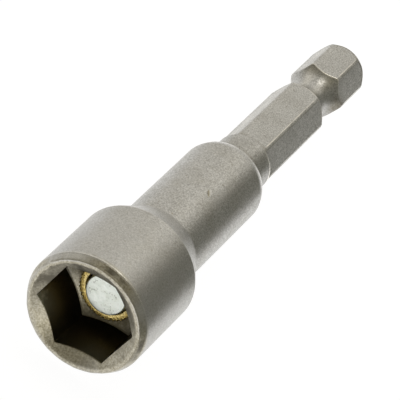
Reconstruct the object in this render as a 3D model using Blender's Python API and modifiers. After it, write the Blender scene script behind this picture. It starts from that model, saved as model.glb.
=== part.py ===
"""Hex socket bit: a magnetic 10 mm nut setter with a quarter-inch hexagon shank.

Four pieces on one axis: a turned and punched socket, a shank pressed into its neck,
a knurled brass sleeve pressed into a bore behind the socket floor, and a rod magnet in the sleeve.
Each piece is modelled along +Z, mouth at z = 0, and the assembly then lies along +Y, mouth to -Y,
with one flat of the shank facing up and one facing down.
Lengths are in metres.
"""

import math

import bmesh
import bpy

# Overall
OVERALL_LENGTH = 0.0650

# Socket, outside
HEAD_DIA = 0.01464
HEAD_LENGTH = 0.0121
SHOULDER_LENGTH = 0.00427
NECK_DIA = 0.01030
SOCKET_LENGTH = 0.03375
NECK_EDGE_RADIUS = 0.00035
FRONT_CHAMFER_WIDTH = 0.00052
FRONT_CHAMFER_LENGTH = 0.00097

# Socket, inside
NUT_WIDTH = 0.0100
NUT_CLEARANCE = 0.00003
RIM_WIDTH = 0.00030
COUNTERSINK_ANGLE = math.radians(124.0)
HEX_CORNER_DEPTH = 0.00654
FLOOR_ANGLE = math.radians(118.0)
SOCKET_TURN = math.radians(-11.8)

# Magnet and its sleeve
MAGNET_DIA = 0.00506
MAGNET_LENGTH = 0.0080
MAGNET_DEPTH = 0.00510
MAGNET_EDGE_RADIUS = 0.00015
MAGNET_CLEARANCE = 0.00017
MAGNET_PROUD = 0.00035
SLEEVE_DIA = 0.00704
SLEEVE_EDGE = 0.00006
SLEEVE_CLEARANCE = 0.00010
BORE_FLOOR_GAP = 0.00010
KNURL_TEETH = 44
KNURL_DEPTH = 0.00016

# Shank
SHANK_STOCK_DIA = 0.00715
SHANK_WIDTH = 0.00635
COLLAR_LENGTH = 0.00477
SPIGOT_LENGTH = 0.0120
SPIGOT_LEAD = 0.00040
SPIGOT_CLEARANCE = 0.00010
SPIGOT_END_GAP = 0.00050
GROOVE_FROM_END = 0.00935
GROOVE_ROOT_DIA = 0.0047
GROOVE_RADIUS = 0.0037
END_FACE_DIA = 0.00632
END_CHAMFER_LENGTH = 0.00075

# Facets
TURN_STEPS = 74
EDGE_STEPS = 4
GROOVE_STEPS = 12
HEX_SIDES = 6
OVERCUT = 0.0010
MERGE = 0.000001

# Stations along the axis, from the mouth rim
NECK_START = HEAD_LENGTH + SHOULDER_LENGTH
COLLAR_END = SOCKET_LENGTH + COLLAR_LENGTH
SPIGOT_END = SOCKET_LENGTH - SPIGOT_LENGTH
MAGNET_BACK = MAGNET_DEPTH + MAGNET_LENGTH
SLEEVE_FRONT = MAGNET_DEPTH + MAGNET_PROUD
BORE_FLOOR = MAGNET_BACK + BORE_FLOOR_GAP
GROOVE_MIDDLE = OVERALL_LENGTH - GROOVE_FROM_END

# Radii
HEAD_RADIUS = HEAD_DIA / 2.0
NECK_RADIUS = NECK_DIA / 2.0
RIM_OUTER_RADIUS = HEAD_RADIUS - FRONT_CHAMFER_WIDTH
RIM_INNER_RADIUS = RIM_OUTER_RADIUS - RIM_WIDTH
HEX_CORNER_RADIUS = (NUT_WIDTH / 2.0 + NUT_CLEARANCE) / math.cos(math.pi / HEX_SIDES)
MAGNET_RADIUS = MAGNET_DIA / 2.0
SLEEVE_RADIUS = SLEEVE_DIA / 2.0
SLEEVE_BORE_RADIUS = MAGNET_RADIUS + MAGNET_CLEARANCE
PILOT_RADIUS = SLEEVE_RADIUS + SLEEVE_CLEARANCE
STOCK_RADIUS = SHANK_STOCK_DIA / 2.0
SPIGOT_BORE_RADIUS = STOCK_RADIUS + SPIGOT_CLEARANCE
SHANK_CORNER_RADIUS = SHANK_WIDTH / 2.0 / math.cos(math.pi / HEX_SIDES)
END_FACE_RADIUS = END_FACE_DIA / 2.0


def clear_scene():
    for old in list(bpy.data.objects):
        bpy.data.objects.remove(old, do_unlink=True)


def new_collection(name):
    collection = bpy.data.collections.new(name)
    bpy.context.scene.collection.children.link(collection)
    return collection


def new_material(name, colour, roughness, metallic):
    material = bpy.data.materials.new(name)
    material.use_nodes = True
    shader = material.node_tree.nodes["Principled BSDF"]
    shader.inputs["Base Color"].default_value = (*colour, 1.0)
    shader.inputs["Roughness"].default_value = roughness
    shader.inputs["Metallic"].default_value = metallic
    return material


def edge_arc(centre_r, centre_z, radius, start, end, steps):
    """Points (r, z) of an arc in the profile plane, from one angle to another."""
    points = []
    for i in range(steps + 1):
        angle = start + (end - start) * i / steps
        points.append((centre_r + radius * math.cos(angle), centre_z + radius * math.sin(angle)))
    return points


def turned(name, profile, collection):
    """A body of revolution about Z, from (r, z) points that run down its outer side."""
    mesh = bpy.data.meshes.new(name)
    points = [(r, 0.0, z) for r, z in profile]
    last = len(points) - 1
    edges = [(i, i + 1) for i in range(last)]
    if profile[0][0] > 0.0 or profile[last][0] > 0.0:
        edges.append((last, 0))
    mesh.from_pydata(points, edges, [])
    body = bpy.data.objects.new(name, mesh)
    collection.objects.link(body)
    screw = body.modifiers.new("Turn", 'SCREW')
    screw.axis = 'Z'
    screw.steps = TURN_STEPS
    screw.render_steps = TURN_STEPS
    screw.use_merge_vertices = True
    screw.merge_threshold = MERGE
    screw.use_smooth_shade = True
    return body


def prism(name, sides, corner_radius, bottom, top, turn, collection):
    """A closed prism about Z with its corners on a circle, the first one turned from +X."""
    mesh = bpy.data.meshes.new(name)
    shape = bmesh.new()
    bmesh.ops.create_cone(
        shape, cap_ends=True, segments=sides,
        radius1=corner_radius, radius2=corner_radius, depth=top - bottom)
    shape.to_mesh(mesh)
    shape.free()
    first_corner = mesh.vertices[0].co
    body = bpy.data.objects.new(name, mesh)
    collection.objects.link(body)
    body.location = (0.0, 0.0, (top + bottom) / 2.0)
    body.rotation_euler = (0.0, 0.0, turn - math.atan2(first_corner.y, first_corner.x))
    return body


def knurled_bar(name, radius, tooth_depth, teeth, bottom, top, collection):
    """A bar with a straight knurl: an outline of tips and roots, drawn out along Z."""
    curve = bpy.data.curves.new(name, 'CURVE')
    curve.dimensions = '2D'
    curve.fill_mode = 'BOTH'
    curve.extrude = (top - bottom) / 2.0
    outline = curve.splines.new('POLY')
    outline.points.add(2 * teeth - 1)
    for i in range(2 * teeth):
        angle = math.pi * i / teeth
        reach = radius - tooth_depth * (i % 2)
        outline.points[i].co = (reach * math.cos(angle), reach * math.sin(angle), 0.0, 1.0)
    outline.use_cyclic_u = True
    drawn = bpy.data.objects.new(name + "_outline", curve)
    collection.objects.link(drawn)
    drawn.location = (0.0, 0.0, (top + bottom) / 2.0)
    bpy.context.view_layer.update()
    evaluated = drawn.evaluated_get(bpy.context.evaluated_depsgraph_get())
    mesh = bpy.data.meshes.new_from_object(evaluated)
    shape = bmesh.new()
    shape.from_mesh(mesh)
    bmesh.ops.remove_doubles(shape, verts=shape.verts, dist=MERGE)
    bmesh.ops.recalc_face_normals(shape, faces=shape.faces)
    shape.to_mesh(mesh)
    shape.free()
    body = bpy.data.objects.new(name, mesh)
    body.matrix_world = drawn.matrix_world.copy()
    collection.objects.link(body)
    bpy.data.objects.remove(drawn, do_unlink=True)
    return body


def as_cutter(body):
    body.hide_render = True
    body.display_type = 'WIRE'
    return body


def combine(body, operation, cutter):
    step = body.modifiers.new(operation.title() + "_" + cutter.name, 'BOOLEAN')
    step.operation = operation
    step.solver = 'EXACT'
    step.object = as_cutter(cutter)


def finish(body, material, parent):
    body.data.materials.append(material)
    body.parent = parent
    body.modifiers.new("Weighted", 'WEIGHTED_NORMAL')


def make_socket(parts, cutters):
    """Turned outside with a bore for the spigot, then countersunk, punched and bored from the mouth."""
    spigot_bore_end = SPIGOT_END - SPIGOT_END_GAP
    drill_point = SPIGOT_BORE_RADIUS / math.tan(FLOOR_ANGLE / 2.0)
    edge = edge_arc(
        NECK_RADIUS - NECK_EDGE_RADIUS, SOCKET_LENGTH - NECK_EDGE_RADIUS, NECK_EDGE_RADIUS,
        math.pi / 2.0, 0.0, EDGE_STEPS)
    profile = [
        (0.0, spigot_bore_end - drill_point),
        (SPIGOT_BORE_RADIUS, spigot_bore_end),
        (SPIGOT_BORE_RADIUS, SOCKET_LENGTH),
        *edge,
        (NECK_RADIUS, NECK_START),
        (HEAD_RADIUS, HEAD_LENGTH),
        (HEAD_RADIUS, FRONT_CHAMFER_LENGTH),
        (RIM_OUTER_RADIUS, 0.0),
        (0.0, 0.0),
    ]
    socket = turned("socket", profile, parts)

    countersink_slope = math.tan(COUNTERSINK_ANGLE / 2.0)
    countersink = turned("mouth_countersink", [
        (0.0, RIM_INNER_RADIUS / countersink_slope),
        (RIM_INNER_RADIUS + OVERCUT * countersink_slope, -OVERCUT),
        (0.0, -OVERCUT),
    ], cutters)

    floor_slope = math.tan(FLOOR_ANGLE / 2.0)
    nose_radius = HEX_CORNER_RADIUS + OVERCUT
    nose = turned("punch_nose", [
        (0.0, HEX_CORNER_DEPTH + HEX_CORNER_RADIUS / floor_slope),
        (nose_radius, HEX_CORNER_DEPTH - OVERCUT / floor_slope),
        (nose_radius, -2.0 * OVERCUT),
        (0.0, -2.0 * OVERCUT),
    ], cutters)
    punch_end = HEX_CORNER_DEPTH + HEX_CORNER_RADIUS / floor_slope + OVERCUT
    punch = prism("hex_punch", HEX_SIDES, HEX_CORNER_RADIUS, -OVERCUT, punch_end, SOCKET_TURN, cutters)
    combine(punch, 'INTERSECT', nose)

    pilot = turned("sleeve_bore", [
        (0.0, BORE_FLOOR),
        (PILOT_RADIUS, BORE_FLOOR),
        (PILOT_RADIUS, HEX_CORNER_DEPTH),
        (0.0, HEX_CORNER_DEPTH),
    ], cutters)

    combine(socket, 'DIFFERENCE', punch)
    combine(socket, 'DIFFERENCE', countersink)
    combine(socket, 'DIFFERENCE', pilot)
    return socket


def make_shank(parts, cutters):
    """A round bar with its ball groove and end chamfer turned, and six flats milled up to the collar."""
    arc_centre = GROOVE_ROOT_DIA / 2.0 + GROOVE_RADIUS
    half_angle = math.acos((arc_centre - STOCK_RADIUS) / GROOVE_RADIUS)
    groove = edge_arc(
        arc_centre, GROOVE_MIDDLE, GROOVE_RADIUS,
        math.pi - half_angle, math.pi + half_angle, GROOVE_STEPS)
    shank = turned("hex_shank", [
        (0.0, OVERALL_LENGTH),
        (END_FACE_RADIUS, OVERALL_LENGTH),
        (STOCK_RADIUS, OVERALL_LENGTH - END_CHAMFER_LENGTH),
        *groove,
        (STOCK_RADIUS, SPIGOT_END + SPIGOT_LEAD),
        (STOCK_RADIUS - SPIGOT_LEAD, SPIGOT_END),
        (0.0, SPIGOT_END),
    ], parts)

    die_end = OVERALL_LENGTH + OVERCUT
    die = prism("flat_mill", TURN_STEPS, SHANK_STOCK_DIA, COLLAR_END, die_end, 0.0, cutters)
    kept_hex = prism(
        "kept_hexagon", HEX_SIDES, SHANK_CORNER_RADIUS,
        COLLAR_END - OVERCUT, die_end + OVERCUT, 0.0, cutters)
    combine(die, 'DIFFERENCE', kept_hex)
    combine(shank, 'DIFFERENCE', die)
    return shank


def make_sleeve(parts, cutters):
    """A knurled bar turned to length, bored for the magnet, with its edges broken."""
    sleeve = turned("magnet_sleeve", [
        (SLEEVE_BORE_RADIUS, MAGNET_BACK - SLEEVE_EDGE),
        (SLEEVE_BORE_RADIUS + SLEEVE_EDGE, MAGNET_BACK),
        (SLEEVE_RADIUS - SLEEVE_EDGE, MAGNET_BACK),
        (SLEEVE_RADIUS + OVERCUT, MAGNET_BACK - SLEEVE_EDGE - OVERCUT),
        (SLEEVE_RADIUS + OVERCUT, SLEEVE_FRONT + SLEEVE_EDGE + OVERCUT),
        (SLEEVE_RADIUS - SLEEVE_EDGE, SLEEVE_FRONT),
        (SLEEVE_BORE_RADIUS + SLEEVE_EDGE, SLEEVE_FRONT),
        (SLEEVE_BORE_RADIUS, SLEEVE_FRONT + SLEEVE_EDGE),
    ], parts)
    knurl = knurled_bar(
        "knurl", SLEEVE_RADIUS, KNURL_DEPTH, KNURL_TEETH,
        SLEEVE_FRONT - OVERCUT, MAGNET_BACK + OVERCUT, cutters)
    combine(sleeve, 'INTERSECT', knurl)
    return sleeve


def make_magnet(parts):
    """A plated rod with tumbled edges."""
    inner = MAGNET_RADIUS - MAGNET_EDGE_RADIUS
    back_edge = edge_arc(
        inner, MAGNET_BACK - MAGNET_EDGE_RADIUS, MAGNET_EDGE_RADIUS, math.pi / 2.0, 0.0, EDGE_STEPS)
    front_edge = edge_arc(
        inner, MAGNET_DEPTH + MAGNET_EDGE_RADIUS, MAGNET_EDGE_RADIUS, 0.0, -math.pi / 2.0, EDGE_STEPS)
    return turned("magnet", [(0.0, MAGNET_BACK), *back_edge, *front_edge, (0.0, MAGNET_DEPTH)], parts)


clear_scene()
parts_collection = new_collection("hex_socket_bit")
cutters_collection = new_collection("cutters")

axis = bpy.data.objects.new("tool_axis", None)
parts_collection.objects.link(axis)
axis.location = (0.0, -OVERALL_LENGTH / 2.0, HEAD_RADIUS)
axis.rotation_euler = (-math.pi / 2.0, 0.0, 0.0)

blasted_steel = new_material("blasted_steel", (0.40, 0.38, 0.35), 0.55, 1.0)
shank_steel = new_material("shank_steel", (0.38, 0.36, 0.33), 0.52, 1.0)
brass = new_material("brass", (0.72, 0.52, 0.20), 0.35, 1.0)
plating = new_material("magnet_plating", (0.78, 0.80, 0.80), 0.40, 1.0)

finish(make_socket(parts_collection, cutters_collection), blasted_steel, axis)
finish(make_shank(parts_collection, cutters_collection), shank_steel, axis)
finish(make_sleeve(parts_collection, cutters_collection), brass, axis)
finish(make_magnet(parts_collection), plating, axis)

for cutter in cutters_collection.objects:
    cutter.parent = axis
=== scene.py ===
import math

import bmesh
import bpy
from mathutils import Matrix, Vector


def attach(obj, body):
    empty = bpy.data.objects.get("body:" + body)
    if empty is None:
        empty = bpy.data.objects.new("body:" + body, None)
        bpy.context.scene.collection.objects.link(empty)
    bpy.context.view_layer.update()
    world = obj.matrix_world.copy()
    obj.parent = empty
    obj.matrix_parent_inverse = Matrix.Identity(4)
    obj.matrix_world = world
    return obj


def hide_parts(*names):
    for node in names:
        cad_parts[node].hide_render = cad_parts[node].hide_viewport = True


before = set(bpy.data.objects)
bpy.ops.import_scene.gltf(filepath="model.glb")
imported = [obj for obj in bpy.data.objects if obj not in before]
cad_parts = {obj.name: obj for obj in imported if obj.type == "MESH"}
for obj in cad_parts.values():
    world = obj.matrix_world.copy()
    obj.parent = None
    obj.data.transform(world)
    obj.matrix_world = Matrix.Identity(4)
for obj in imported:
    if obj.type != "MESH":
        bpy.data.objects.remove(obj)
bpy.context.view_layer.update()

MM = 0.001

# The bit lies along +Y with its mouth at the low end. Stations are millimetres from the mouth rim.
LENGTH = 65.0
AXIS_HEIGHT = 7.32

HEAD_RADIUS = 7.31
HEAD_END = 12.1
NECK_START = 16.37
NECK_RADIUS = 5.15
NECK_END = 34.25
NECK_TAPER = 1.50
NECK_BEVEL = 0.60
NECK_BEVEL_RADIUS = 4.87
NECK_TIP_RADIUS = 4.57
CHAMFER_END = 0.97
RIM_OUTER = 6.83
RIM_INNER = 6.50

NUT_HALF_WIDTH = 5.09
NUT_CORNER_ROUND = 0.12
NUT_CORNER_ANGLE = math.radians(11.8)
NUT_OFF_CENTRE = 0.05
NUT_OFF_ANGLE = math.radians(74.0)
MOUTH_SLOPE = math.tan(math.radians(59.0))
FLOOR_CORNER_DEPTH = 6.64
FLOOR_SLOPE = math.tan(math.radians(59.0))
SLEEVE_HOLE = 3.60
SLEEVE_HOLE_END = 13.20
SHANK_HOLE = 3.675
SHANK_HOLE_END = 21.25

SHANK_STOCK = 3.575
SHANK_HALF_WIDTH = 3.175
SPIGOT_END = 21.75
SPIGOT_LEAD = 0.40
COLLAR_END = 38.52
GROOVE_MIDDLE = 55.65
GROOVE_ROOT = 2.35
GROOVE_ARC = 3.70
TIP_RADIUS = 3.17
TIP_LENGTH = 0.75

SLEEVE_RADIUS = 3.57
SLEEVE_BORE = 2.70
SLEEVE_FRONT = 5.60
SLEEVE_BACK = 13.10
SLEEVE_EDGE = 0.06
KNURL_TEETH = 44
KNURL_DEPTH = 0.12
KNURL_SLOPE = 0.05

MAGNET_RADIUS = 2.49
MAGNET_FRONT = 5.10
MAGNET_EDGE = 0.20
MAGNET_OFF_CENTRE = 0.07
MAGNET_OFF_ANGLE = math.radians(300.0)
MAGNET_HOLLOW = 0.12

KNOCK_STATION = 23.56
KNOCK_ANGLE = 75.0
KNOCK_REACH = 1.05
KNOCK_ROWS = 23
KNOCK_DEPTH = 0.07
KNOCK_LIP = 0.02
KNOCK_ACROSS = (0.454, -0.708)
KNOCK_DOWN = (0.438, 0.705)
KNOCK_HALF_WIDTH = 0.15
KNOCK_HALF_LENGTH = 0.46
KNOCK_LIP_OFFSET = 0.23
KNOCK_LIP_HALF_WIDTH = 0.12
KNOCK_LIP_HALF_LENGTH = 0.44

# A broken edge takes at most these shares of the lines that meet there.
EDGE_STEPS = 5
EDGE_SHARE = 0.42
GUARD = 0.16
GUARD_SHARE = 0.49

# Wear, dirt, painted highlights and painted shade that change round the axis, each as (amount, middle,
# spread). Angles are degrees from +X towards +Z, and the camera faces about 74.
# CUT_SHADE: painted shade on the head's chamfer, darker on its top, right and left.
CUT_SHADE = ((0.92, 80.0, 21.0), (0.95, 3.0, 20.0), (0.68, 165.0, 14.0), (0.22, 332.0, 16.0))
# CUT_HIGHLIGHT: painted highlight on the chamfer, on its upper left and upper right.
CUT_HIGHLIGHT = ((0.40, 124.0, 18.0), (0.28, 42.0, 16.0))
# RIM_DIRT_AND_SHADE: dirt on the rim face, with painted shade on its right and top and a lighter patch on its
# upper left.
RIM_DIRT_AND_SHADE = ((0.46, 358.0, 20.0), (0.28, 82.0, 16.0), (0.20, 330.0, 20.0), (-0.14, 124.0, 16.0))
# CONE_DIRT_AND_SHADE: dirt in the mouth's cone, with painted shade darker on its left, top and upper right,
# lighter low down.
CONE_DIRT_AND_SHADE = (
    (0.42, 165.0, 32.0), (0.32, 112.0, 20.0), (0.24, 48.0, 32.0), (-0.17, 219.0, 18.0),
    (-0.16, 276.0, 26.0), (-0.14, 300.0, 12.0), (0.08, 335.0, 20.0))
# FLOOR_DIRT_AND_SHADE: dirt on the socket's floor, with painted shade darker low down, lighter on its lower
# left.
FLOOR_DIRT_AND_SHADE = ((0.42, 264.0, 30.0), (-0.22, 217.0, 11.0), (0.08, 310.0, 25.0))
# CORNER_WEAR_AND_HIGHLIGHT: wear on the shank's corners, with painted highlight on three of them.
CORNER_WEAR_AND_HIGHLIGHT = ((0.88, 60.0, 15.0), (0.88, 240.0, 15.0), (0.88, 0.0, 15.0))
# GROOVE_EDGE_WEAR_AND_HIGHLIGHT: wear on the groove's back edge, with painted highlight on its top.
GROOVE_EDGE_WEAR_AND_HIGHLIGHT = ((0.90, 78.0, 34.0), (0.45, 120.0, 12.0))
# GROOVE_HIGHLIGHT: painted highlight inside the groove, on its top.
GROOVE_HIGHLIGHT = ((0.22, 72.0, 15.0), (0.28, 119.0, 14.0))

# Degrees to either side of a corner where a hexagon needs more points.
NUT_CORNER_STEPS = (-1.2, -0.6, -0.4, -0.2, 0.0, 0.2, 0.4, 0.6, 1.2)
SHANK_CORNER_STEPS = (
    -4.0, -3.1, -2.85, -2.64, -2.43, -2.2, -1.0, 0.0, 1.0, 2.2, 2.43, 2.64, 2.85, 3.1, 4.0)

# Sockets of the colour mix node, which share their names with its other kinds of sockets.
MIX_FIRST = 6
MIX_SECOND = 7
MIX_RESULT = 2

# The studio, in metres. A soft light is (direction, facing where it starts, facing where it is full, colour).
FLOOR_REACH = 3.0
CARD_SIDE = 0.0225
CARD_FRONT = -0.050
CARD_BACK = 0.250
CARD_TOP = 0.030
DIM_SKY = (0.27, 0.25, 0.19)
SOFT_LIGHTS = (
    ((-0.45, 0.82, 0.35), 0.45, 0.74, (0.85, 0.82, 0.75)),
    ((0.52, -0.85, 0.03), 0.91, 0.985, (1.60, 1.54, 1.34)),
    ((0.12, 0.77, 0.62), 0.955, 0.998, (1.08, 1.04, 0.94)),
    ((0.08, 0.25, 0.965), 0.955, 0.992, (2.45, 2.38, 2.22)))
CAMERA_SENSOR = 36.0
CAMERA_LENS = 284.812
CAMERA_CLIP = 0.01
CAMERA_PLACE = (0.0637740, -0.2823015, 0.2241151)
CAMERA_RIGHT = (0.82445, 0.45380, 0.33813)
CAMERA_BACK = (0.17882, -0.77570, 0.60522)


# Turned shapes

def rounded(corners):
    """Profile points with broken edges. A corner is (station, radius, edge round, wear and painted highlight,
    dirt and painted shade).
    """
    points = []
    last = len(corners) - 1
    for i, (t, r, edge, wear_and_highlight, dirt_and_shade) in enumerate(corners):
        if edge == 0.0 or i in (0, last):
            points.append((t, r, wear_and_highlight, dirt_and_shade))
            continue
        here = Vector((t, r))
        before = Vector(corners[i - 1][:2]) - here
        after = Vector(corners[i + 1][:2]) - here
        room_before, room_after = before.length, after.length
        if room_before < 1e-6 or room_after < 1e-6:
            points.extend([(t, r, 0.0, dirt_and_shade)] * (EDGE_STEPS + 3))
            continue
        before.normalize()
        after.normalize()
        half = 0.5 * math.acos(max(-1.0, min(1.0, before.dot(after))))
        cut = min(edge / math.tan(half), EDGE_SHARE * room_before, EDGE_SHARE * room_after)
        lead = here + before * min(cut + GUARD, GUARD_SHARE * room_before)
        trail = here + after * min(cut + GUARD, GUARD_SHARE * room_after)
        start = here + before * cut
        end = here + after * cut
        points.append((*lead, 0.0, dirt_and_shade))
        for k in range(EDGE_STEPS + 1):
            s = k / EDGE_STEPS
            p = start * (1.0 - s) ** 2 + here * 2.0 * s * (1.0 - s) + end * s ** 2
            points.append((*p, wear_and_highlight * math.sin(math.pi * (0.15 + 0.7 * s)), dirt_and_shade))
        points.append((*trail, 0.0, dirt_and_shade))
    return points


def angles_round(step, extra=()):
    """Angles of a full turn, every few degrees, with some more where a shape needs them."""
    count = round(360.0 / step)
    turn = 2.0 * math.pi
    wanted = {round(turn * i / count, 7) for i in range(count)}
    wanted |= {round(a % turn, 7) for a in extra}
    kept = []
    for a in sorted(wanted):
        if not kept or a - kept[-1] > 1e-4:
            kept.append(a)
    return kept


def lathe(name, angles, profile_at, ring=False):
    """A closed skin of profiles set round the tool axis, one for each angle."""
    skin = bmesh.new()
    wear_and_highlight_layer = skin.verts.layers.float.new("wear_and_highlight")
    dirt_and_shade_layer = skin.verts.layers.float.new("dirt_and_shade")
    columns = []
    for angle in angles:
        column = []
        for t, r, wear_and_highlight, dirt_and_shade in profile_at(angle):
            corner = skin.verts.new((
                r * math.cos(angle) * MM, (t - LENGTH / 2.0) * MM,
                (AXIS_HEIGHT + r * math.sin(angle)) * MM))
            corner[wear_and_highlight_layer] = wear_and_highlight
            corner[dirt_and_shade_layer] = dirt_and_shade
            column.append(corner)
        columns.append(column)
    rows = len(columns[0])
    spans = rows if ring else rows - 1
    for j, column in enumerate(columns):
        beside = columns[(j + 1) % len(columns)]
        for i in range(spans):
            k = (i + 1) % rows
            skin.faces.new((column[i], column[k], beside[k], beside[i]))
    bmesh.ops.remove_doubles(skin, verts=skin.verts, dist=2e-7)
    bmesh.ops.dissolve_degenerate(skin, edges=skin.edges, dist=1e-8)
    bmesh.ops.recalc_face_normals(skin, faces=skin.faces)
    mesh = bpy.data.meshes.new(name)
    skin.to_mesh(mesh)
    skin.free()
    mesh.shade_smooth()
    piece = bpy.data.objects.new(name, mesh)
    bpy.context.scene.collection.objects.link(piece)
    return piece


def from_corner(angle, first_corner):
    """Angle to the nearest corner of a hexagon, from -30 to 30 degrees."""
    sixth = math.pi / 3.0
    return (angle - first_corner + sixth / 2.0) % sixth - sixth / 2.0


def near(angle, middle, spread):
    """How close an angle is to another, both in degrees: 1 there, falling off over the spread."""
    off = (math.degrees(angle) - middle + 180.0) % 360.0 - 180.0
    return math.exp(-(off / spread) ** 2)


def patches(angle, base, spots):
    """An amount that changes round the axis: a base and some spots of (amount, middle, spread)."""
    for amount, middle, spread in spots:
        base += amount * near(angle, middle, spread)
    return base


def uneven(angle):
    """Small waves round the rim that a rough cut leaves, from -1 to 1."""
    return (
        0.40 * math.sin(23.0 * angle + 0.7) + 0.35 * math.sin(37.0 * angle + 2.1)
        + 0.25 * math.sin(61.0 * angle + 4.0))


def knock(station, angle):
    """Depth of the small slanting knock on the neck, from 1 in its middle to below 0 on its raised lip."""
    along = station - KNOCK_STATION
    around = NECK_RADIUS * (angle - math.radians(KNOCK_ANGLE))
    across = KNOCK_ACROSS[0] * along + KNOCK_ACROSS[1] * around
    down = KNOCK_DOWN[0] * along + KNOCK_DOWN[1] * around
    hollow = max(0.0, 1.0 - (across / KNOCK_HALF_WIDTH) ** 2 - (down / KNOCK_HALF_LENGTH) ** 2)
    lip_across = (across - KNOCK_LIP_OFFSET) / KNOCK_LIP_HALF_WIDTH
    lip = max(0.0, 1.0 - lip_across ** 2 - (down / KNOCK_LIP_HALF_LENGTH) ** 2)
    return hollow - lip


def nut_wall(angle):
    """Radius of the punched hexagon, a little off centre, with small rounds in its corners."""
    shift = NUT_OFF_CENTRE * math.cos(angle - NUT_OFF_ANGLE)
    off = abs(from_corner(angle, NUT_CORNER_ANGLE))
    middle = (NUT_HALF_WIDTH - NUT_CORNER_ROUND) / math.cos(math.pi / 6.0)
    reach = math.atan2(NUT_CORNER_ROUND * 0.5, middle + NUT_CORNER_ROUND * math.cos(math.pi / 6.0))
    if off < reach:
        round_reach = math.sqrt(NUT_CORNER_ROUND ** 2 - (middle * math.sin(off)) ** 2)
        return middle * math.cos(off) + round_reach + shift
    return NUT_HALF_WIDTH / math.cos(math.pi / 6.0 - off) + shift


def shank_wall(angle):
    """Radius of the drive hexagon, its corners left round from the bar."""
    off = abs(from_corner(angle, 0.0))
    return min(SHANK_STOCK, SHANK_HALF_WIDTH / math.cos(math.pi / 6.0 - off))


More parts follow.
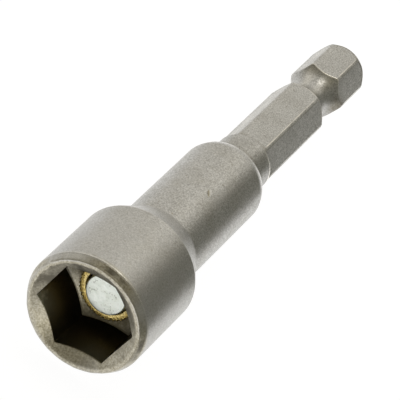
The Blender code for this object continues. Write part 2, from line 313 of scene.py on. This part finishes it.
def socket_profile(angle):
    """The socket's outline at an angle, from the shank's hole over the outside to the sleeve's hole."""
    wall = nut_wall(angle)
    corner = (NUT_HALF_WIDTH - NUT_CORNER_ROUND) / math.cos(math.pi / 6.0) + NUT_CORNER_ROUND
    mouth = (RIM_INNER - wall) / MOUTH_SLOPE
    floor = FLOOR_CORNER_DEPTH + (corner - wall) / FLOOR_SLOPE
    hole = FLOOR_CORNER_DEPTH + (corner - SLEEVE_HOLE) / FLOOR_SLOPE
    burr = near(angle, 150.0, 22.0)
    rim_outer = RIM_OUTER + (0.02 + 0.04 * burr) * uneven(angle)
    rim_inner = RIM_INNER + (0.03 + 0.07 * burr) * uneven(angle + 1.3)
    crest = 0.02 + (0.02 + 0.07 * burr) * (0.5 + 0.5 * uneven(angle + 2.9))
    cut_shade = patches(angle, 0.02, CUT_SHADE)
    rim_dirt_and_shade = patches(angle, 0.28, RIM_DIRT_AND_SHADE)
    cone_dirt_and_shade = patches(angle, 0.62, CONE_DIRT_AND_SHADE)
    # Painted light: near the rim the cone's darkening is lifted on its upper side.
    cone_lit_strip = near(angle, 72.0, 32.0)
    floor_dirt_and_shade = patches(angle, 0.60, FLOOR_DIRT_AND_SHADE)
    # Painted highlight on the rim's edges, strongest on its upper right.
    rim_highlight = 0.04 + 0.85 * near(angle, 42.0, 30.0)
    cut_highlight = patches(angle, 0.0, CUT_HIGHLIGHT)
    # Heat scale with painted shade on the hexagon's walls, a little less on their left.
    wall_scale_and_shade = 1.35 - 0.50 * near(angle, 190.0, 22.0)
    # Painted highlight along the chamfer's back edge, strongest on the side that faces the camera.
    chamfer_edge_highlight = 0.25 + 0.75 * near(angle, 80.0, 42.0)
    # Painted highlight on the bevel at the neck's end, strongest on its upper right.
    bevel_highlight = 0.55 + 0.45 * near(angle, 35.0, 28.0)
    tip_slope = (NECK_RADIUS - NECK_BEVEL_RADIUS) / (NECK_TAPER - NECK_BEVEL)
    knock_rows = []
    for i in range(KNOCK_ROWS):
        station = KNOCK_STATION + KNOCK_REACH * (1.0 - 2.0 * i / (KNOCK_ROWS - 1))
        depth = knock(station, angle)
        sunk = KNOCK_DEPTH * max(0.0, depth) - KNOCK_LIP * max(0.0, -depth)
        knock_rows.append((
            station, NECK_RADIUS - sunk, 0.0, 0.25 * max(0.0, -depth), 0.95 * max(0.0, depth)))
    return rounded([
        (SHANK_HOLE_END - SHANK_HOLE / FLOOR_SLOPE, 0.0, 0.0, 0.0, 1.0),
        (SHANK_HOLE_END, SHANK_HOLE, 0.0, 0.0, 1.0),
        (NECK_END, SHANK_HOLE, 0.05, 0.3, 0.5),
        (NECK_END, NECK_TIP_RADIUS - 0.08, 0.0, 0.3, 0.0),
        (NECK_END - 0.06, NECK_TIP_RADIUS, 0.0, 0.6, 0.0),
        (NECK_END - NECK_BEVEL, NECK_BEVEL_RADIUS, 0.0, bevel_highlight, 0.0),
        (NECK_END - NECK_BEVEL - 0.24, NECK_BEVEL_RADIUS + 0.24 * tip_slope, 0.0, 0.9 * bevel_highlight, 0.0),
        (NECK_END - NECK_BEVEL - 0.36, NECK_BEVEL_RADIUS + 0.36 * tip_slope, 0.0, 0.0, 0.0),
        (NECK_END - NECK_TAPER, NECK_RADIUS, 2.4, 0.0, 0.0),
        *knock_rows,
        (NECK_START, NECK_RADIUS, 0.9, 0.0, 0.0),
        (HEAD_END, HEAD_RADIUS, 0.25, 0.25, 0.0),
        (CHAMFER_END + 0.45, HEAD_RADIUS, 0.0, 0.0, 0.0),
        (CHAMFER_END, HEAD_RADIUS, 0.22, chamfer_edge_highlight, 0.3 * cut_shade),
        (0.75 * CHAMFER_END, rim_outer + 0.75 * (HEAD_RADIUS - rim_outer), 0.0, cut_highlight, cut_shade),
        (0.30 * CHAMFER_END, rim_outer + 0.30 * (HEAD_RADIUS - rim_outer), 0.0, cut_highlight, cut_shade),
        (crest, rim_outer, 0.08, rim_highlight, rim_dirt_and_shade),
        (crest, rim_inner, 0.06, 0.4 * rim_highlight, 0.50),
        (0.08 * mouth, rim_inner + 0.08 * (wall - rim_inner), 0.0, 0.0, (0.9 - 0.6 * cone_lit_strip) * cone_dirt_and_shade),
        (0.22 * mouth, rim_inner + 0.22 * (wall - rim_inner), 0.0, 0.0, (1.0 - 0.5 * cone_lit_strip) * cone_dirt_and_shade),
        (mouth, wall, 0.03, 0.05, cone_dirt_and_shade),
        # The hexagon's walls and the floor's corner are set dark: heat scale together with painted shade.
        (mouth + 0.03 * (floor - mouth), wall, 0.0, 0.0, wall_scale_and_shade),
        (mouth + 0.50 * (floor - mouth), wall, 0.0, 0.0, 1.5),
        (floor, wall, 0.10, 0.0, 1.2),
        (floor + 0.12 * (hole - floor), wall + 0.12 * (SLEEVE_HOLE - wall), 0.0, 0.0, floor_dirt_and_shade + 0.08),
        (hole, SLEEVE_HOLE, 0.06, 0.2, floor_dirt_and_shade),
        (SLEEVE_HOLE_END, SLEEVE_HOLE, 0.0, 0.0, 1.0),
        (SLEEVE_HOLE_END, 0.0, 0.0, 0.0, 1.0),
    ])


def shank_profile(angle):
    """The shank's outline at an angle, from its hidden spigot to the end face."""
    wall = shank_wall(angle)
    corner_amount = patches(angle, 0.12, CORNER_WEAR_AND_HIGHLIGHT)
    flank = math.degrees(from_corner(angle, 0.0))
    # Each corner gets a bright line, wear with painted highlight, and a line of painted shade on its other
    # side.
    corner_wear_and_highlight = max(corner_amount * max(0.0, 1.0 - abs(flank - 2.64) / 0.9), 0.24 * near(angle, 150.0, 25.0))
    corner_shade_line = 0.40 * corner_amount * max(0.0, 1.0 - abs(flank + 3.0) / 1.2)
    collar_shade = 0.09 * near(angle, 95.0, 30.0)
    step = min(1.0, (SHANK_STOCK - wall) / 0.3)
    collar_highlight = 0.95 * near(angle, 12.0, 38.0)
    tip_stain = 0.50 * near(angle, 38.0, 32.0)
    groove_edge_wear_and_highlight = patches(angle, 0.10, GROOVE_EDGE_WEAR_AND_HIGHLIGHT)
    groove_highlight = patches(angle, 0.0, GROOVE_HIGHLIGHT)
    # Painted shade inside the groove on its right, in the half towards the tip.
    groove_shade = 0.80 * near(angle, 2.0, 26.0)
    arc_middle = GROOVE_ROOT + GROOVE_ARC
    reach = math.sqrt(GROOVE_ARC ** 2 - (arc_middle - wall) ** 2)
    groove = []
    for i in range(1, 14):
        along = -reach + 2.0 * reach * i / 14
        groove.append((
            GROOVE_MIDDLE + along, arc_middle - math.sqrt(GROOVE_ARC ** 2 - along ** 2),
            0.0, groove_highlight, groove_shade * max(0.0, (along / reach - 0.12) / 0.88)))
    chamfer = TIP_LENGTH * (wall - TIP_RADIUS) / (SHANK_STOCK - TIP_RADIUS)
    return rounded([
        (SPIGOT_END, 0.0, 0.0, 0.0, 1.0),
        (SPIGOT_END, SHANK_STOCK - SPIGOT_LEAD, 0.0, 0.0, 1.0),
        (SPIGOT_END + SPIGOT_LEAD, SHANK_STOCK, 0.0, 0.0, 1.0),
        # Painted shadow: the collar is set darker just behind the neck's end, fading back along it, a little
        # more on its top.
        (NECK_END - 0.2, SHANK_STOCK, 0.0, 0.0, 0.7),
        (NECK_END + 0.06, SHANK_STOCK, 0.0, 0.0, 0.50),
        (NECK_END + 1.10, SHANK_STOCK, 0.0, 0.0, 0.34),
        (NECK_END + 1.45, SHANK_STOCK, 0.0, 0.0, 0.16),
        (NECK_END + 1.80, SHANK_STOCK, 0.0, 0.0, collar_shade),
        (COLLAR_END - 1.2, SHANK_STOCK, 0.0, 0.0, 0.4 * collar_shade),
        (COLLAR_END - 0.42, SHANK_STOCK, 0.0, 0.0, 0.0),
        # Painted highlight on the collar's rounded end, strongest on its right.
        (COLLAR_END - 0.28, SHANK_STOCK, 0.0, 0.9 * collar_highlight, 0.0),
        (COLLAR_END - 0.10, SHANK_STOCK - 0.02 * step, 0.0, collar_highlight, 0.0),
        (COLLAR_END - 0.03, SHANK_STOCK - 0.07 * step, 0.0, collar_highlight, 0.0),
        (COLLAR_END, SHANK_STOCK - 0.15 * step, 0.0, 0.5 * collar_highlight, 0.1),
        (COLLAR_END, wall, 0.08, 0.0, 0.25),
        (COLLAR_END + 0.8, wall, 0.0, corner_wear_and_highlight, corner_shade_line),
        (GROOVE_MIDDLE - reach - 1.0, wall, 0.0, corner_wear_and_highlight, corner_shade_line),
        (GROOVE_MIDDLE - reach, wall, 0.10, 0.6, 0.0),
        *groove,
        (GROOVE_MIDDLE + reach, wall, 0.12, groove_edge_wear_and_highlight, 0.6 * groove_shade),
        (GROOVE_MIDDLE + reach + 1.0, wall, 0.0, corner_wear_and_highlight, corner_shade_line),
        (LENGTH - chamfer - 0.8, wall, 0.0, corner_wear_and_highlight, corner_shade_line),
        (LENGTH - chamfer - 0.36, wall, 0.0, 0.0, 0.0),
        (LENGTH - chamfer - 0.15, wall, 0.0, 0.0, tip_stain),
        (LENGTH - chamfer, wall, 0.06, 0.0, 0.55),
        (LENGTH, TIP_RADIUS, 0.06, 0.0, 0.40),
        (LENGTH, 0.0, 0.0, 0.0, 0.0),
    ])


def sleeve_profile(angle):
    """The sleeve's outline at an angle, with the tooth or the gap of the knurl that lies there."""
    count = angle * KNURL_TEETH / (2.0 * math.pi)
    valley = (0.5 - 0.5 * math.cos(2.0 * math.pi * count)) ** 0.8
    lump = 0.5 + 0.5 * math.sin(5.7 * math.floor(count + 0.5) + 1.0)
    outside = SLEEVE_RADIUS - KNURL_DEPTH * valley - 0.04 * lump
    slope = KNURL_SLOPE * (0.6 + 0.4 * valley)
    land = SLEEVE_BORE + 0.80 * (outside - SLEEVE_BORE)
    # dull is painted shade: the sleeve's face is set darker on its lower left and kept from shining there.
    dull = near(angle, 234.0, 36.0)
    dirt = 0.16 * valley * (1.0 - 0.7 * near(angle, 195.0, 40.0))
    return rounded([
        (SLEEVE_FRONT, SLEEVE_BORE + SLEEVE_EDGE, 0.05, 0.9 * (1.0 - dull), 0.30 * dull),
        (SLEEVE_FRONT, land, 0.05, 0.7 * (1.0 - valley) * (1.0 - dull), 0.30 * dull + 0.2 * dirt),
        (SLEEVE_FRONT + slope, outside - SLEEVE_EDGE, 0.04,
         (1.0 - valley) * (1.0 - dull), 0.30 * dull + dirt),
        (SLEEVE_FRONT + slope + 1.4 * SLEEVE_EDGE, outside, 0.0, 0.3, dirt),
        (SLEEVE_BACK - SLEEVE_EDGE, outside, 0.0, 0.0, 0.6),
        (SLEEVE_BACK, outside - SLEEVE_EDGE, 0.0, 0.0, 0.6),
        (SLEEVE_BACK, SLEEVE_BORE + SLEEVE_EDGE, 0.0, 0.0, 0.6),
        (SLEEVE_BACK - SLEEVE_EDGE, SLEEVE_BORE, 0.0, 0.0, 1.0),
        (SLEEVE_FRONT + SLEEVE_EDGE, SLEEVE_BORE, 0.0, 0.2, 0.4),
    ])


def magnet_profile(angle):
    """A rod whose ground end is a little hollow, lying to one side of its sleeve."""
    radius = MAGNET_RADIUS + MAGNET_OFF_CENTRE * math.cos(angle - MAGNET_OFF_ANGLE)
    land = radius - MAGNET_EDGE
    edge_shade = 0.30 * near(angle, 262.0, 45.0)
    face = []
    for i in range(1, 7):
        r = land * (1.0 - i / 6)
        face.append((MAGNET_FRONT + MAGNET_HOLLOW * (1.0 - (r / land) ** 2), r, 0.0, 0.0, 0.0))
    return rounded([
        (SLEEVE_BACK, 0.0, 0.0, 0.0, 1.0),
        (SLEEVE_BACK, radius, MAGNET_EDGE, 0.0, 1.0),
        (MAGNET_FRONT, radius, MAGNET_EDGE, 0.0, edge_shade),
        *face,
    ])


# Node helpers

def set_inputs(node, values):
    for name, value in values.items():
        node.inputs[name].default_value = value


def feed(tree, value, socket):
    """Give a socket a number, a colour or the output of another node."""
    if isinstance(value, tuple):
        socket.default_value = (*value, 1.0)
    elif isinstance(value, (int, float)):
        socket.default_value = value
    else:
        tree.links.new(value, socket)


def add_node(tree, kind, values=None, **settings):
    node = tree.nodes.new(kind)
    for name, value in settings.items():
        setattr(node, name, value)
    set_inputs(node, values or {})
    return node


def math_node(tree, operation, first, second, clamp=False):
    node = add_node(tree, "ShaderNodeMath", operation=operation, use_clamp=clamp)
    feed(tree, first, node.inputs[0])
    feed(tree, second, node.inputs[1])
    return node.outputs["Value"]


def remap(tree, value, low, high, to_low=0.0, to_high=1.0, smooth=False):
    node = add_node(tree, "ShaderNodeMapRange", {
        "From Min": low, "From Max": high, "To Min": to_low, "To Max": to_high})
    node.interpolation_type = 'SMOOTHSTEP' if smooth else 'LINEAR'
    tree.links.new(value, node.inputs["Value"])
    return node.outputs["Result"]


def blend_colour(tree, factor, first, second):
    node = add_node(tree, "ShaderNodeMix", data_type='RGBA')
    tree.links.new(factor, node.inputs["Factor"])
    feed(tree, first, node.inputs[MIX_FIRST])
    feed(tree, second, node.inputs[MIX_SECOND])
    return node.outputs[MIX_RESULT]


def noise(tree, where, scale, detail, roughness):
    node = add_node(tree, "ShaderNodeTexNoise", {"Detail": detail, "Roughness": roughness})
    feed(tree, scale, node.inputs["Scale"])
    tree.links.new(where, node.inputs["Vector"])
    return node.outputs["Fac"]


def new_group(name, inputs, outputs):
    group = bpy.data.node_groups.new(name, "ShaderNodeTree")
    for label, value in inputs:
        socket = group.interface.new_socket(label, in_out='INPUT', socket_type='NodeSocketFloat')
        socket.default_value = value
    for label in outputs:
        group.interface.new_socket(label, in_out='OUTPUT', socket_type='NodeSocketFloat')
    return group, group.nodes.new("NodeGroupInput"), group.nodes.new("NodeGroupOutput")


def use_group(tree, group, values):
    node = tree.nodes.new("ShaderNodeGroup")
    node.node_tree = group
    set_inputs(node, values)
    return node


# Finishes that several pieces share

def make_blasted_grain():
    """Fine pits of a blasted surface: a tone about one half, and a height for bumps."""
    group, given, result = new_group(
        "blasted_grain", [("Pits per metre", 7000.0), ("Contrast", 1.0)], ["Tone", "Height"])
    place = add_node(group, "ShaderNodeTexCoord").outputs["Object"]
    pits = given.outputs["Pits per metre"]
    fine = noise(group, place, pits, 2.0, 0.6)
    coarse = noise(group, place, math_node(group, 'MULTIPLY', pits, 0.30), 2.0, 0.5)
    both = math_node(
        group, 'ADD', math_node(group, 'MULTIPLY', fine, 0.88), math_node(group, 'MULTIPLY', coarse, 0.12))
    swing = math_node(group, 'MULTIPLY', math_node(group, 'SUBTRACT', both, 0.5), given.outputs["Contrast"])
    group.links.new(math_node(group, 'ADD', swing, 0.5, clamp=True), result.inputs["Tone"])
    group.links.new(both, result.inputs["Height"])
    return group


def make_wear_and_highlight_edge():
    """Mask of edges rubbed bright and of painted highlights, broken up along their length."""
    group, given, result = new_group(
        "wear_and_highlight_edge", [("Amount", 1.0), ("Breaks per metre", 900.0)], ["Mask"])
    place = add_node(group, "ShaderNodeTexCoord").outputs["Object"]
    wear_and_highlight = add_node(group, "ShaderNodeAttribute", attribute_name="wear_and_highlight").outputs["Fac"]
    breaks = noise(group, place, given.outputs["Breaks per metre"], 4.0, 0.65)
    broken = math_node(group, 'MULTIPLY', wear_and_highlight, remap(group, breaks, 0.36, 0.62, 0.40, 1.0))
    full = math_node(group, 'MULTIPLY', broken, given.outputs["Amount"], clamp=True)
    group.links.new(full, result.inputs["Mask"])
    return group


def make_dirt_and_shade():
    """Mask of dark heat scale and dirt, which also carries painted shade in recesses and on sides turned from
    the light.
    """
    group, given, result = new_group(
        "dirt_and_shade", [("Amount", 1.0), ("Patches per metre", 500.0)], ["Mask"])
    place = add_node(group, "ShaderNodeTexCoord").outputs["Object"]
    dirt_and_shade = add_node(group, "ShaderNodeAttribute", attribute_name="dirt_and_shade").outputs["Fac"]
    cloudy = noise(group, place, given.outputs["Patches per metre"], 3.0, 0.6)
    patchy = math_node(group, 'MULTIPLY', dirt_and_shade, remap(group, cloudy, 0.25, 0.75, 0.65, 1.25))
    full = math_node(group, 'MULTIPLY', patchy, given.outputs["Amount"], clamp=True)
    group.links.new(full, result.inputs["Mask"])
    return group


def make_blotch():
    """Mask of broad, faint stains from oil and heat."""
    group, given, result = new_group(
        "heat_blotch", [("Blotches per metre", 400.0), ("Amount", 0.15)], ["Mask"])
    place = add_node(group, "ShaderNodeTexCoord").outputs["Object"]
    broad = noise(group, place, given.outputs["Blotches per metre"], 3.0, 0.55)
    patch = remap(group, broad, 0.42, 0.68)
    group.links.new(math_node(group, 'MULTIPLY', patch, given.outputs["Amount"]), result.inputs["Mask"])
    return group


def metal(name):
    material = bpy.data.materials.new(name)
    material.use_nodes = True
    tree = material.node_tree
    shader = tree.nodes["Principled BSDF"]
    shader.inputs["Metallic"].default_value = 1.0
    return material, tree, shader


def bumped(tree, shader, height, strength, depth):
    bump = add_node(tree, "ShaderNodeBump", {"Strength": strength, "Distance": depth})
    tree.links.new(height, bump.inputs["Height"])
    tree.links.new(bump.outputs["Normal"], shader.inputs["Normal"])


def make_steel(name, groups, dull, pale, worn_and_highlight, stain, speck, scale, rough_low, rough_high):
    """Blasted tool steel: speckled, bright on its worn edges and painted highlights, stained, and dark with
    heat scale and painted shade.
    """
    material, tree, shader = metal(name)
    grain = use_group(tree, groups["grain"], {"Pits per metre": 6000.0})
    edge = use_group(tree, groups["worn_and_highlight"], {"Amount": 1.0, "Breaks per metre": 420.0})
    dirt_and_shade = use_group(tree, groups["dirt_and_shade"], {"Amount": 1.0, "Patches per metre": 600.0})
    blotch = use_group(tree, groups["blotch"], {"Blotches per metre": 380.0, "Amount": 0.16})
    place = add_node(tree, "ShaderNodeTexCoord").outputs["Object"]
    split = add_node(tree, "ShaderNodeSeparateXYZ")
    tree.links.new(place, split.inputs["Vector"])
    coarser = remap(tree, split.outputs["Y"], -0.026, -0.014, 1.9, 3.6, smooth=True)
    tree.links.new(coarser, grain.inputs["Contrast"])
    pits = remap(tree, noise(tree, place, 2600.0, 2.0, 0.6), 0.64, 0.72, 0.0, 0.55)
    flecks = remap(tree, noise(tree, place, 4600.0, 3.0, 0.65), 0.32, 0.70)
    skin = blend_colour(tree, grain.outputs["Tone"], dull, pale)
    tinted = blend_colour(tree, blotch.outputs["Mask"], skin, stain)
    pitted = blend_colour(tree, pits, tinted, stain)
    rubbed_and_lit = blend_colour(tree, edge.outputs["Mask"], pitted, worn_and_highlight)
    dirt = blend_colour(tree, flecks, stain, speck)
    # Where the mask of dirt and painted shade rises, the colour goes to flecked dirt and then to dark scale.
    stained_and_shaded = blend_colour(tree, remap(tree, dirt_and_shade.outputs["Mask"], 0.0, 0.5), rubbed_and_lit, dirt)
    dark = blend_colour(tree, remap(tree, dirt_and_shade.outputs["Mask"], 0.5, 1.0), stained_and_shaded, scale)
    tree.links.new(dark, shader.inputs["Base Color"])
    dry = remap(tree, grain.outputs["Tone"], 0.2, 0.8, rough_high, rough_low)
    polished = math_node(tree, 'MULTIPLY', edge.outputs["Mask"], 0.16)
    tree.links.new(math_node(tree, 'SUBTRACT', dry, polished), shader.inputs["Roughness"])
    bumped(tree, shader, grain.outputs["Height"], 0.35, 0.00005)
    return material


def make_brass(name, groups):
    """Turned and knurled brass, bright on its tooth tips, dirty between them, and darker where painted shade
    is set.
    """
    material, tree, shader = metal(name)
    grain = use_group(tree, groups["grain"], {"Pits per metre": 3800.0, "Contrast": 3.2})
    edge = use_group(tree, groups["worn_and_highlight"], {"Amount": 1.0, "Breaks per metre": 1400.0})
    dirt_and_shade = use_group(tree, groups["dirt_and_shade"], {"Amount": 1.0, "Patches per metre": 900.0})
    skin = blend_colour(tree, grain.outputs["Tone"], (0.52, 0.36, 0.09), (0.95, 0.75, 0.28))
    rubbed_and_lit = blend_colour(tree, edge.outputs["Mask"], skin, (1.0, 0.86, 0.46))
    dirty_and_shaded = blend_colour(tree, dirt_and_shade.outputs["Mask"], rubbed_and_lit, (0.13, 0.085, 0.02))
    tree.links.new(dirty_and_shaded, shader.inputs["Base Color"])
    tree.links.new(remap(tree, grain.outputs["Tone"], 0.2, 0.8, 0.42, 0.26), shader.inputs["Roughness"])
    bumped(tree, shader, grain.outputs["Height"], 0.6, 0.00012)
    return material


def make_plating(name, groups):
    """Bright matt nickel plate, mottled, with small dark pits."""
    material, tree, shader = metal(name)
    grain = use_group(tree, groups["grain"], {"Pits per metre": 3600.0, "Contrast": 2.0})
    dirt_and_shade = use_group(tree, groups["dirt_and_shade"], {"Amount": 0.9, "Patches per metre": 800.0})
    place = add_node(tree, "ShaderNodeTexCoord").outputs["Object"]
    cluster = remap(tree, noise(tree, place, 900.0, 2.0, 0.55), 0.42, 0.66)
    pits = remap(tree, noise(tree, place, 4300.0, 2.0, 0.5), 0.60, 0.67)
    spots = math_node(tree, 'MULTIPLY', math_node(tree, 'MULTIPLY', pits, cluster), 0.80)
    skin = blend_colour(tree, grain.outputs["Tone"], (0.89, 0.955, 0.89), (0.955, 0.985, 0.94))
    mottled = blend_colour(tree, math_node(tree, 'MULTIPLY', cluster, 0.55), skin, (0.70, 0.75, 0.65))
    pitted = blend_colour(tree, spots, mottled, (0.16, 0.16, 0.13))
    dirty_and_shaded = blend_colour(tree, dirt_and_shade.outputs["Mask"], pitted, (0.05, 0.05, 0.05))
    tree.links.new(dirty_and_shaded, shader.inputs["Base Color"])
    tree.links.new(remap(tree, grain.outputs["Tone"], 0.2, 0.8, 0.44, 0.32), shader.inputs["Roughness"])
    bumped(tree, shader, grain.outputs["Height"], 0.30, 0.00006)
    return material


# Studio

def paper_white(tree, glow, shade):
    """Lit paper: an even part, and a part that takes shadows."""
    even = add_node(tree, "ShaderNodeEmission", {"Color": (1.0, 1.0, 1.0, 1.0)})
    feed(tree, glow, even.inputs["Strength"])
    shaded = add_node(tree, "ShaderNodeBsdfDiffuse", {"Color": (shade, shade, shade, 1.0)})
    both = add_node(tree, "ShaderNodeAddShader")
    tree.links.new(even.outputs[0], both.inputs[0])
    tree.links.new(shaded.outputs[0], both.inputs[1])
    return both.outputs[0]


def make_floor():
    """A wide pale floor that reads as white paper and keeps a faint shadow."""
    sheet = bmesh.new()
    bmesh.ops.create_grid(sheet, x_segments=4, y_segments=4, size=FLOOR_REACH)
    mesh = bpy.data.meshes.new("paper_floor")
    sheet.to_mesh(mesh)
    sheet.free()
    floor = bpy.data.objects.new("paper_floor", mesh)
    bpy.context.scene.collection.objects.link(floor)
    material = bpy.data.materials.new("white_paper")
    material.use_nodes = True
    tree = material.node_tree
    tree.nodes.clear()
    path = add_node(tree, "ShaderNodeLightPath")
    mirrored = math_node(
        tree, 'MAXIMUM', path.outputs["Is Glossy Ray"], path.outputs["Is Transmission Ray"])
    bounce = add_node(tree, "ShaderNodeBsdfDiffuse", {"Color": (0.80, 0.80, 0.79, 1.0)})
    place = add_node(tree, "ShaderNodeTexCoord").outputs["Object"]
    sideways = add_node(tree, "ShaderNodeSeparateXYZ")
    tree.links.new(place, sideways.inputs["Vector"])
    # Painted shade: as the metal sees it, the floor's glow is set dimmer on the left.
    dim_left = remap(tree, sideways.outputs["X"], -0.036, -0.012, 0.74, 0.95, smooth=True)
    near_metal = paper_white(tree, dim_left, 0.36)
    white = paper_white(tree, 0.95, 0.14)
    in_metal = add_node(tree, "ShaderNodeMixShader")
    in_picture = add_node(tree, "ShaderNodeMixShader")
    out = add_node(tree, "ShaderNodeOutputMaterial")
    tree.links.new(mirrored, in_metal.inputs[0])
    tree.links.new(bounce.outputs[0], in_metal.inputs[1])
    tree.links.new(near_metal, in_metal.inputs[2])
    tree.links.new(path.outputs["Is Camera Ray"], in_picture.inputs[0])
    tree.links.new(in_metal.outputs[0], in_picture.inputs[1])
    tree.links.new(white, in_picture.inputs[2])
    tree.links.new(in_picture.outputs[0], out.inputs["Surface"])
    mesh.materials.append(material)


def facing(tree, look, way, low, high):
    """How far a direction of the studio faces one of its soft lights, from 0 to 1."""
    along = add_node(tree, "ShaderNodeVectorMath", operation='DOT_PRODUCT')
    along.inputs[1].default_value = way
    tree.links.new(look, along.inputs[0])
    return remap(tree, along.outputs["Value"], low, high, smooth=True)


def make_flag():
    """A dark card standing along the right side, which the metal mirrors as its dark band."""
    card = bmesh.new()
    corners = [card.verts.new(place) for place in (
        (CARD_SIDE, CARD_FRONT, 0.0), (CARD_SIDE, CARD_BACK, 0.0),
        (CARD_SIDE, CARD_BACK, CARD_TOP), (CARD_SIDE, CARD_FRONT, CARD_TOP))]
    card.faces.new(corners)
    mesh = bpy.data.meshes.new("dark_card")
    card.to_mesh(mesh)
    card.free()
    flag = bpy.data.objects.new("dark_card", mesh)
    bpy.context.scene.collection.objects.link(flag)
    material = bpy.data.materials.new("dark_card")
    material.use_nodes = True
    shader = material.node_tree.nodes["Principled BSDF"]
    shader.inputs["Base Color"].default_value = (0.53, 0.545, 0.535, 1.0)
    shader.inputs["Roughness"].default_value = 0.9
    mesh.materials.append(material)
    flag.visible_camera = False
    flag.visible_diffuse = False
    flag.visible_shadow = False


def make_studio_light():
    """A dim sky with soft lights: behind to the left, low in front, high behind, and overhead."""
    world = bpy.data.worlds.new("soft_studio")
    bpy.context.scene.world = world
    world.use_nodes = True
    tree = world.node_tree
    tree.nodes.clear()
    look = add_node(tree, "ShaderNodeTexCoord").outputs["Generated"]
    sky = DIM_SKY
    for way, low, high, colour in SOFT_LIGHTS:
        sky = blend_colour(tree, facing(tree, look, way, low, high), sky, colour)
    background = add_node(tree, "ShaderNodeBackground", {"Strength": 1.0})
    out = add_node(tree, "ShaderNodeOutputWorld")
    tree.links.new(sky, background.inputs["Color"])
    tree.links.new(background.outputs[0], out.inputs["Surface"])


def make_camera():
    camera = bpy.data.cameras.new("camera")
    camera.sensor_width = CAMERA_SENSOR
    camera.lens = CAMERA_LENS
    camera.clip_start = CAMERA_CLIP
    holder = bpy.data.objects.new("camera", camera)
    bpy.context.scene.collection.objects.link(holder)
    right = Vector(CAMERA_RIGHT)
    back = Vector(CAMERA_BACK).normalized()
    up = back.cross(right).normalized()
    right = up.cross(back)
    turn = Matrix((right, up, back)).transposed().to_4x4()
    holder.matrix_world = Matrix.Translation(CAMERA_PLACE) @ turn
    bpy.context.scene.camera = holder


# Pieces

groups = {
    "grain": make_blasted_grain(), "worn_and_highlight": make_wear_and_highlight_edge(), "dirt_and_shade": make_dirt_and_shade(), "blotch": make_blotch()}

nut_corners = [
    NUT_CORNER_ANGLE + math.pi / 3.0 * i + math.radians(off)
    for i in range(6) for off in NUT_CORNER_STEPS]
shank_corners = [
    math.pi / 3.0 * i + math.radians(off)
    for i in range(6) for off in SHANK_CORNER_STEPS]
knock_angles = [math.radians(KNOCK_ANGLE + 0.6 * i) for i in range(-13, 14)]
socket_body = lathe("socket_body", angles_round(1.25, nut_corners + knock_angles), socket_profile)
shank_body = lathe("shank_body", angles_round(2.5, shank_corners), shank_profile)
brass_sleeve = lathe("brass_sleeve", angles_round(360.0 / (KNURL_TEETH * 12)), sleeve_profile, ring=True)
magnet_rod = lathe("magnet_rod", angles_round(4.0), magnet_profile)

socket_steel = make_steel(
    "socket_steel", groups, dull=(0.34, 0.335, 0.32), pale=(0.60, 0.595, 0.58), worn_and_highlight=(0.92, 0.91, 0.87),
    stain=(0.27, 0.245, 0.18), speck=(0.60, 0.57, 0.475), scale=(0.12, 0.11, 0.085),
    rough_low=0.30, rough_high=0.42)
shank_steel = make_steel(
    "shank_steel", groups, dull=(0.325, 0.322, 0.308), pale=(0.595, 0.59, 0.572), worn_and_highlight=(1.0, 0.96, 0.86),
    stain=(0.18, 0.162, 0.125), speck=(0.33, 0.315, 0.275), scale=(0.06, 0.055, 0.045),
    rough_low=0.34, rough_high=0.46)
sleeve_brass = make_brass("sleeve_brass", groups)
magnet_plating = make_plating("magnet_plating", groups)

for piece, node, finish in (
        (socket_body, "socket", socket_steel), (shank_body, "hex_shank", shank_steel),
        (brass_sleeve, "magnet_sleeve", sleeve_brass), (magnet_rod, "magnet", magnet_plating)):
    piece.data.materials.append(finish)
    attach(piece, "root")
    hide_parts(node)

make_floor()
make_flag()
make_studio_light()
make_camera()
bpy.context.scene.view_settings.view_transform = 'Standard'
